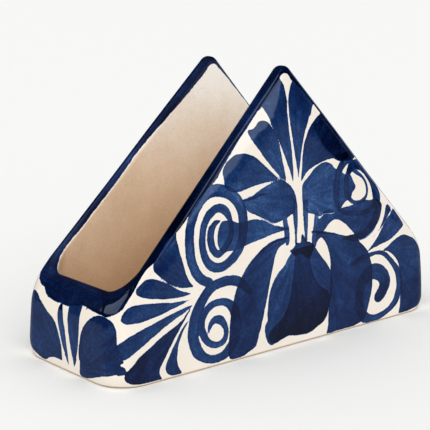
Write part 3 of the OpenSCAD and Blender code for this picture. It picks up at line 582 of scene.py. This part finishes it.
front_panel = lay_wall("front_panel_clay", -mitre_place, mitre_place, panel_pitch, panel_rows)
back_panel = lay_wall("back_panel_clay", half_way - mitre_place, half_way + mitre_place, panel_pitch, panel_rows)
left_end = lay_wall("left_end_wall_clay", mitre_place - half_way, -mitre_place, end_pitch, end_rows)
right_end = lay_wall("right_end_wall_clay", mitre_place, half_way - mitre_place, end_pitch, end_rows)


# The glaze over the walls and the slab: cream tin-white on the outside, painted with cobalt, clear and glossy
# on top, and only a thin coat inside.


def linear(colour):
    """sRGB colour of 0 to 255 as linear light, with an alpha of 1."""
    c = np.array(colour, float) / 255
    return (*np.where(c <= 0.04045, c / 12.92, ((c + 0.055) / 1.055) ** 2.4), 1)


class Tree:
    """Adds nodes to a node tree. What a socket is given is linked if it is a socket itself, else it is set."""

    def __init__(self, tree):
        self.nodes, self.links = tree.nodes, tree.links

    def give(self, socket, value):
        if isinstance(value, bpy.types.NodeSocket):
            self.links.new(value, socket)
        else:
            socket.default_value = value

    def add(self, kind, inputs=None, **settings):
        node = self.nodes.new("ShaderNode" + kind)
        for name, value in settings.items():
            setattr(node, name, value)
        for name, value in (inputs or {}).items():
            self.give(node.inputs[name], value)
        return node

    def number(self, operation, *values):
        return self.add("Math", dict(enumerate(values)), operation=operation).outputs[0]

    def spread(self, value, from_low, from_high, to_low, to_high, smooth=False):
        """Map Range node, clamped."""
        names = ("Value", "From Min", "From Max", "To Min", "To Max")
        inputs = dict(zip(names, (value, from_low, from_high, to_low, to_high)))
        return self.add("MapRange", inputs, interpolation_type="SMOOTHSTEP" if smooth else "LINEAR").outputs["Result"]

    def grain(self, place, scale, detail=2.0, rough=0.5):
        """Noise texture of a scale in turns per metre."""
        inputs = {"Vector": place, "Scale": scale, "Detail": detail, "Roughness": rough}
        return self.add("TexNoise", inputs).outputs["Fac"]

    def swing(self, place, scale, detail, rough, strength):
        """Noise that swings about 0, by half its strength to either side."""
        return self.number("MULTIPLY_ADD", self.grain(place, scale, detail, rough), strength, -strength / 2)

    def added(self, first, *others):
        for other in others:
            first = self.number("ADD", first, other)
        return first

    def mix(self, share, first, second, blend="MIX"):
        inputs = {"Factor": share, 6: first, 7: second}
        return self.add("Mix", inputs, data_type="RGBA", blend_type=blend).outputs[2]

    def ramp(self, value, stops):
        """Colour ramp from (place, sRGB colour) pairs in order."""
        node = self.add("ValToRGB", {"Fac": value})
        first, last = node.color_ramp.elements
        for element, (place, colour) in ((first, stops[0]), (last, stops[-1])):
            element.position, element.color = place, linear(colour)
        for place, colour in stops[1:-1]:
            node.color_ramp.elements.new(place).color = linear(colour)
        return node

    def mark(self, name, output="Fac"):
        """One of the painter's marks."""
        return self.add("Attribute", attribute_type="GEOMETRY", attribute_name=name).outputs[output]


def open_group(name, inputs, output):
    """Node group, its tree, its inputs and the socket of its one output."""
    group = bpy.data.node_groups.new(name, "ShaderNodeTree")
    for label in inputs:
        kind = "NodeSocketVector" if label in ("Flow", "Place") else "NodeSocketFloat"
        group.interface.new_socket(label, in_out="INPUT", socket_type=kind)
    group.interface.new_socket(output, in_out="OUTPUT", socket_type="NodeSocketFloat")
    entry, leave = group.nodes.new("NodeGroupInput"), group.nodes.new("NodeGroupOutput")
    return group, Tree(group), entry.outputs, leave.inputs[output]


def brush_group():
    """Density of one layer of cobalt: the painted edge is frayed by two noises, the load is streaked along the
    brush's travel, clouded, mottled and grained, and it gathers in a line along the edge."""
    group, tree, entry, density = open_group("brushed_cobalt", ("Edge", "Flow", "Place", "Streak"), "Density")
    travel, sideways, load = tree.add("SeparateXYZ", {0: entry["Flow"]}).outputs
    # Bristle marks are ten times as long as they are wide
    drawn_out = {0: tree.number("MULTIPLY", travel, 0.05), 1: tree.number("MULTIPLY", sideways, 0.5)}
    bristle = tree.grain(tree.add("CombineXYZ", drawn_out).outputs[0], 1.0, 3, 0.65)
    streak = tree.number("MULTIPLY", tree.number("SUBTRACT", bristle, 0.5), entry["Streak"])
    # Each noise is a scale in turns per metre, a detail, a roughness and a strength, in mm or in shares of the load
    frays = (330, 2, 0.5, 0.55), (1300, 1, 0.5, 0.3)
    clouds, mottle, speckle = (75, 3, 0.6, 0.9), (260, 3, 0.6, 0.4), (1100, 2, 0.6, 0.75)
    edge = tree.added(entry["Edge"], *(tree.swing(entry["Place"], *noise) for noise in frays))
    half_edge, gather_width, gather_share = 0.13, 0.8, 0.14
    cover = tree.spread(edge, half_edge, -half_edge, 0, 1, True)
    gather = tree.spread(edge, -gather_width, -0.05, 0, gather_share, True)
    swings = [tree.swing(entry["Place"], *noise) for noise in (clouds, mottle, speckle)]
    tone = tree.added(1.0, *swings, streak, gather)
    tree.give(density, tree.number("MULTIPLY", tree.number("MULTIPLY", tone, load), cover))
    return group


def speck_group():
    """Mask of fine dark specks of iron in the clay: a dot in the middle of a few of a cellular texture's cells."""
    group, tree, entry, mask = open_group("clay_specks", ("Place",), "Mask")
    cells = tree.add("TexVoronoi", {"Vector": entry["Place"], "Scale": 620}).outputs
    dots = tree.spread(cells["Distance"], 0.16, 0.08, 0, 1)
    few = tree.spread(tree.add("SeparateColor", {0: cells["Color"]}).outputs[0], 0.9, 0.99, 0, 0.8)
    tree.give(mask, tree.number("MULTIPLY", dots, few))
    return group


def glaze_relief_group():
    """Height of the fired glaze: long soft undulations from brushing and dipping, and a few pinholes."""
    group, tree, entry, height = open_group("glaze_relief", ("Place",), "Height")
    broad, ripple = tree.grain(entry["Place"], 60), tree.grain(entry["Place"], 260)
    pits = tree.add("TexVoronoi", {"Vector": entry["Place"], "Scale": 150}).outputs["Distance"]
    waves = tree.number("MULTIPLY_ADD", ripple, 0.08, broad)
    tree.give(height, tree.number("ADD", waves, tree.spread(pits, 0.03, 0.07, -0.3, 0)))
    return group


brushed_cobalt, clay_specks, glaze_relief = brush_group(), speck_group(), glaze_relief_group()
# Colour of the fired cobalt over the cream ground, against how thickly it lies
cream = (241, 232, 219)
full_density = 2.8
cobalt = [
    (0.0, cream),
    (0.2, (146, 166, 202)),
    (0.4, (84, 114, 162)),
    (0.62, (46, 78, 127)),
    (0.82, (28, 58, 106)),
    (1.0, (20, 46, 90)),
    (1.25, (14, 34, 76)),
    (1.6, (7, 21, 56)),
    (2.1, (2, 10, 36)),
    (full_density, (0, 4, 20)),
]
painted_roughness, bare_roughness = 0.07, 0.32
glaze_ior, relief_depth = 1.47, 0.00022


def glazed_material(name):
    """Material with the glaze's relief, and its tree, its shader and the object's coordinates."""
    material = bpy.data.materials.new(name)
    material.use_nodes = True
    tree, shader = Tree(material.node_tree), material.node_tree.nodes["Principled BSDF"]
    place = tree.add("TexCoord").outputs["Object"]
    shader.inputs["IOR"].default_value = glaze_ior
    relief = tree.add("Group", {"Place": place}, node_tree=glaze_relief)
    bump = tree.add("Bump", {"Strength": 1.0, "Distance": relief_depth, "Height": relief.outputs["Height"]})
    tree.give(shader.inputs["Normal"], bump.outputs["Normal"])
    return material, tree, shader, place


def inside_clay_and_painted_shade(tree, place):
    """Colour of the thinly glazed inside: tan clay that pales towards the tip, clouded and grained, with a few
    dark specks. Its paling with height is partly the clay's own tone and partly painted shade, darkest low
    in the well."""
    height = tree.add("SeparateXYZ", {0: place}).outputs[2]
    clouds = [tree.swing(place, scale, 3, 0.6, by) for scale, by in ((38, 0.4), (210, 0.22), (1500, 0.5))]
    # Painted shade, in part: the tone rises with height, dark low in the well and pale near the tip
    tone = tree.added(tree.spread(height, 0.012, 0.098, 0.02, 0.98), *clouds)
    clay = tree.ramp(tone, [(0, (204, 170, 134)), (0.5, (235, 209, 179)), (1, (255, 251, 243))])
    specks, iron = tree.add("Group", {"Place": place}, node_tree=clay_specks), linear((132, 98, 70))
    return tree.mix(specks.outputs["Mask"], clay.outputs["Color"], iron)


def painted_glaze_material():
    """Cream tin-white ground under brushed cobalt and a clear, glossy glaze; bare tan inside the walls. Where two
    layers lie over each other, the heavier one counts whole and the lighter one by a set share."""
    material, tree, shader, place = glazed_material("painted_glaze")
    total = None
    for layer, streak, overlap in (("wash", 0.95, 0), ("second", 1.0, 0.35), ("dark", 0.7, 1), ("band", 0.9, 0)):
        inputs = {"Edge": tree.mark("edge_" + layer), "Flow": tree.mark("flow_" + layer, "Vector")}
        inputs.update({"Place": place, "Streak": streak})
        density = tree.add("Group", inputs, node_tree=brushed_cobalt).outputs["Density"]
        if total is None:
            total = density
        else:
            upper, lower = (tree.number(choice, total, density) for choice in ("MAXIMUM", "MINIMUM"))
            total = tree.number("MULTIPLY_ADD", lower, overlap, upper)
    stops = [(density / full_density, colour) for density, colour in cobalt]
    ink = tree.ramp(tree.number("MULTIPLY", total, 1 / full_density), stops)
    for stop in ink.color_ramp.elements:
        stop.color = [min(shade / white, 1) for shade, white in zip(stop.color, linear(cream))]
    ground = tree.ramp(tree.grain(place, 45, 4, 0.6), [(0.25, (239, 229, 215)), (0.75, (244, 236, 224))])
    # The glaze is wiped off the lowest millimetre, and a pale line is laid just past the band's inner edge
    foot_clay, pale_edge_colour = linear((205, 180, 152)), linear((248, 241, 232))
    wiped = tree.spread(tree.add("SeparateXYZ", {0: place}).outputs[2], 0.0011, 0.0004, 0, 1, True)
    foot = tree.mix(wiped, ground.outputs["Color"], foot_clay)
    pale_line = tree.spread(tree.mark("edge_band"), 0.75, 0.25, 0, 0.85, True)
    lined = tree.mix(pale_line, inside_clay_and_painted_shade(tree, place), pale_edge_colour)
    bare = tree.mark("inside")
    painted = tree.mix(1.0, tree.mix(bare, foot, lined), ink.outputs["Color"], "MULTIPLY")
    tree.give(shader.inputs["Base Color"], painted)
    tree.give(shader.inputs["Roughness"], tree.spread(bare, 0, 1, painted_roughness, bare_roughness))
    return material


painted_glaze = painted_glaze_material()
for piece, node in (
    (front_panel, "front_panel"),
    (back_panel, "back_panel"),
    (left_end, "left_end_wall"),
    (right_end, "right_end_wall"),
):
    piece.data.materials.append(painted_glaze)
    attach(piece, "root")
    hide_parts(node)

# ----------------------------------------
# The base slab: one rolled piece of clay with the full footprint, its lower edge wiped clean of glaze, its
# corners drawn in by the potter's thumb. The walls stand on it.


def lay_base():
    """Rings of the slab from the middle of its underside out to the foot, up the side and back over the top to
    the middle; the side's rings use the same places round the body as the walls do."""
    panel_places = np.linspace(-mitre_place, mitre_place, int(round(2 * mitre_place / panel_pitch)) + 1)
    end_length = half_way - 2 * mitre_place
    end_places = np.linspace(0, end_length, int(round(end_length / end_pitch)) + 1)[1:-1] + mitre_place
    s = np.r_[panel_places, end_places, panel_places + half_way, end_places + half_way]
    round_heights = foot_round * (1 - np.cos(np.linspace(0, math.pi / 2, 6)))
    heights = np.r_[round_heights, np.linspace(foot_round, floor_thickness, 12)[1:]]
    ss, zz = np.meshgrid(s, heights, indexing="ij")

    def side_point(ss, zz):
        p = round_the_body(ss, zz)
        pressed = thumb_marks(ss, zz) * np.clip(zz / floor_thickness, 0, 1)
        return at_share(p, 0, zz) + inward(p) * pressed[..., None]

    side = side_point(ss, zz)
    round_way = side_point(ss + probe, zz) - side_point(ss - probe, zz)
    up_way = side_point(ss, zz + probe / 2) - side_point(ss, np.maximum(zz - probe / 2, 0))
    under_shares = np.array([0.0, 0.35, 0.7, 0.95])
    under = side[:, :1] * np.array([1, 1, 0]) * under_shares[None, :, None]
    over_shares = np.array([0.9, 0.6, 0.3, 0.0])
    over = side[:, -1:] * over_shares[None, :, None]
    over[..., 2] = floor_thickness
    points = np.concatenate([under, side, over], 1)
    down, up = np.zeros_like(under), np.zeros_like(over)
    down[..., 2], up[..., 2] = -1, 1
    normals = np.concatenate([down, unit_cross(round_way, up_way), up], 1)
    ss = np.repeat(s[:, None], points.shape[1], 1)
    inner = np.r_[np.zeros(len(under_shares) + len(heights)), np.ones(len(over_shares))][None, :]
    marks = outer_marks(ss, points[..., 2], far_below + 0 * ss, inner)
    for layer in layer_names:
        marks["edge_" + layer][:, : len(under_shares)] = unpainted
    return lay_piece("base_slab_clay", points, normals, marks, path_closed=True)


base = lay_base()
base.data.materials.append(painted_glaze)
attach(base, "root")
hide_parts("floor_slab")

# ----------------------------------------
# Soft clay pressed into the seams: an upright coil in each inner corner, smoothed to a hollow with a finger,
# and a rope of clay round the edge of the floor. The thin glaze leaves the tan clay showing.
floor_coil_radius = 4.0
seam_columns = 840


def lay_corner_coil(name, middle):
    """Hollow face of the coil, from the floor up to the line where the wall takes over, and back down along
    the two flat walls behind it."""
    s = middle + np.linspace(-corner_arc / 2, corner_arc / 2, 25)
    # A hair inside the corner, where the two faces meet, so that neither end counts as a flat wall
    s[0], s[-1] = s[0] + 1e-4, s[-1] - 1e-4
    ss, tt = np.meshgrid(s, np.linspace(0, 1, 20), indexing="ij")
    p = round_the_body(ss, floor_thickness)
    top = rim_height(p["inner"][0]) - coil_drop
    hollow = at_share(p, 1, floor_thickness + (top - floor_thickness) * tt)
    seat = wall_point(ss, 4, tt)[0]
    points = np.concatenate([hollow[:, ::-1], seat[:, ::-1]], 1)
    normals = np.concatenate([inward(p), -inward(p)], 1)
    return lay_piece(name, points, normals, {"inside": np.ones(points.shape[:2])}, capped=False)


def lay_floor_coil():
    """Quarter hollow between wall and floor, carried all round the inner edge."""
    s = np.arange(seam_columns) / seam_columns * whole_way
    p = round_the_body(s, floor_thickness)
    turns = np.linspace(0, math.pi / 2, 9)
    foot = at_share(p, 1, floor_thickness)[:, None]
    level = inward(p)[:, None]
    up = np.stack([0 * s, -p["front"] * p["way"] * lean_rise, 1 + 0 * s], -1)[:, None]
    rise, run = np.sin(turns)[None, :, None], np.cos(turns)[None, :, None]
    arc = foot + floor_coil_radius * (up * (1 - rise) + level * (1 - run))
    points = np.concatenate([foot, arc[:, ::-1]], 1)[:, ::-1]
    soft = level * run + up * rise
    normals = np.concatenate([-level, soft[:, ::-1]], 1)[:, ::-1]
    marks = {"inside": np.ones(points.shape[:2])}
    return lay_piece("floor_seam_coil_clay", points, normals, marks, path_closed=True)


def inner_glaze_material():
    """Thin, satin glaze over bare tan clay with iron specks."""
    material, tree, shader, place = glazed_material("inner_glaze")
    tree.give(shader.inputs["Base Color"], inside_clay_and_painted_shade(tree, place))
    shader.inputs["Roughness"].default_value = bare_roughness
    return material


inner_glaze = inner_glaze_material()
corner_coils = [
    ("front_left_corner_coil", -mitre_place),
    ("front_right_corner_coil", mitre_place),
    ("back_right_corner_coil", half_way - mitre_place),
    ("back_left_corner_coil", half_way + mitre_place),
]
coils = [(lay_corner_coil(node + "_clay", middle), node) for node, middle in corner_coils]
for piece, node in coils + [(lay_floor_coil(), "floor_seam_coil")]:
    piece.data.materials.append(inner_glaze)
    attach(piece, "root")
    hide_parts(node)

# ----------------------------------------
# The studio: a plain white sheet in a pale room, a broad soft lamp that lights the holder from the front left
# and above, three softboxes that are mirrored in its glaze, and the camera of the photograph.
sheet_mesh = bpy.data.meshes.new("white_sheet")
sheet_mesh.from_pydata([(-3.5, -3.2, 0), (4.5, -3.2, 0), (4.5, 5, 0), (-3.5, 5, 0)], [], [(0, 1, 2, 3)])
sheet = bpy.data.objects.new("white_sheet", sheet_mesh)
bpy.context.scene.collection.objects.link(sheet)
sheet_paper = bpy.data.materials.new("white_paper")
sheet_paper.use_nodes = True
paper_tree, paper_nodes = Tree(sheet_paper.node_tree), sheet_paper.node_tree.nodes
paper_shader = paper_nodes["Principled BSDF"]
paper_shader.inputs["Base Color"].default_value = linear((250, 250, 248))
paper_shader.inputs["Roughness"].default_value = 0.9
paper_shader.inputs["Specular IOR Level"].default_value = 0.0
# Painted reflection: the glaze mirrors the sheet as a fixed dim grey glow, not as its lit white
painted_sheet_reflection = paper_tree.add("Emission", {"Color": (0.23, 0.24, 0.27, 1)}).outputs[0]
by_glaze = paper_tree.add("LightPath").outputs["Is Glossy Ray"]
seen = paper_tree.add("MixShader", {0: by_glaze, 1: paper_shader.outputs[0], 2: painted_sheet_reflection})
paper_tree.give(paper_nodes["Material Output"].inputs[0], seen.outputs[0])
sheet.data.materials.append(sheet_paper)

world = bpy.data.worlds.new("pale_studio")
bpy.context.scene.world = world
world.use_nodes = True
backdrop = world.node_tree.nodes["Background"]
backdrop.inputs["Color"].default_value = (0.68, 0.68, 0.68, 1)
backdrop.inputs["Strength"].default_value = 1.0
world.cycles_visibility.glossy = False

object_middle = (0, 0, 0.045)
cool = (0.62, 0.76, 1.0)


def hang(name, kind, direction, away, target):
    """A lamp that hangs in a direction from its target and faces it."""
    light = bpy.data.lights.new(name, kind)
    lamp = bpy.data.objects.new(name, light)
    bpy.context.scene.collection.objects.link(lamp)
    line = Vector(direction).normalized()
    lamp.location = Vector(target) + line * away
    lamp.rotation_euler = (-line).to_track_quat("-Z", "Y").to_euler()
    return lamp, light


def softbox(name, direction, away, size, radiance, target=object_middle, roll=0.0, lights=False):
    """A cool rectangular lamp whose face has a radiance of so many times white, rolled about its own line; one
    that lights nothing is only seen in the glaze."""
    lamp, light = hang(name, "AREA", direction, away, target)
    turned = Quaternion(Vector(direction).normalized(), math.radians(-roll))
    lamp.rotation_euler = (turned @ lamp.rotation_euler.to_quaternion()).to_euler()
    light.shape = "RECTANGLE"
    light.size, light.size_y = size
    light.energy = radiance * math.pi * size[0] * size[1]
    light.color = cool
    lamp.visible_diffuse = lights


broad_lamp, broad_light = hang("broad_lamp", "SUN", (-0.5, -0.55, 0.67), 1.5, object_middle)
broad_light.energy = 1.4
broad_light.angle = math.radians(65)
broad_lamp.visible_glossy = False
softbox("front_softbox", (0.43, -0.89, 0.175), 0.9, (0.34, 0.15), 2.3, lights=True)
softbox("left_softbox", (-0.717, 0.327, 0.616), 3.0, (3.45, 1.5), 2.2, (-0.06, -0.01, 0.035), -10)
softbox("right_softbox", (0.977, -0.146, 0.156), 3.0, (1.4, 0.5), 1.6, (0.05, 0, 0.04))

# The camera of the photograph: focal length and width in pixels, then its turns, and its place in millimetres
view_focal, photo_width = 1288.0, 430
view_yaw, view_pitch, view_roll = math.radians(41.72), math.radians(12.6), math.radians(0.99)
view_shift_x, view_shift_y, view_distance = 9.6, -0.7, 485.0
forward = np.array(
    [math.cos(view_pitch) * math.sin(view_yaw), math.cos(view_pitch) * math.cos(view_yaw), -math.sin(view_pitch)]
)
level = np.cross(forward, [0, 0, 1])
level /= np.linalg.norm(level)
upright = np.cross(level, forward)
right = math.cos(view_roll) * level + math.sin(view_roll) * upright
upward = -math.sin(view_roll) * level + math.cos(view_roll) * upright
aim = np.array(object_middle) * 1000
eye = aim - (view_shift_x * right - view_shift_y * upward + view_distance * forward)
lens = bpy.data.cameras.new("camera")
lens.sensor_width = 36
lens.lens = lens.sensor_width * view_focal / photo_width
lens.clip_start = 0.01
lens.clip_end = 20
camera = bpy.data.objects.new("camera", lens)
bpy.context.scene.collection.objects.link(camera)
placed = np.column_stack([right, upward, -forward, eye * millimetre])
camera.matrix_world = Matrix([*placed.tolist(), [0, 0, 0, 1]])
bpy.context.scene.camera = camera
bpy.context.scene.view_settings.view_transform = "Standard"
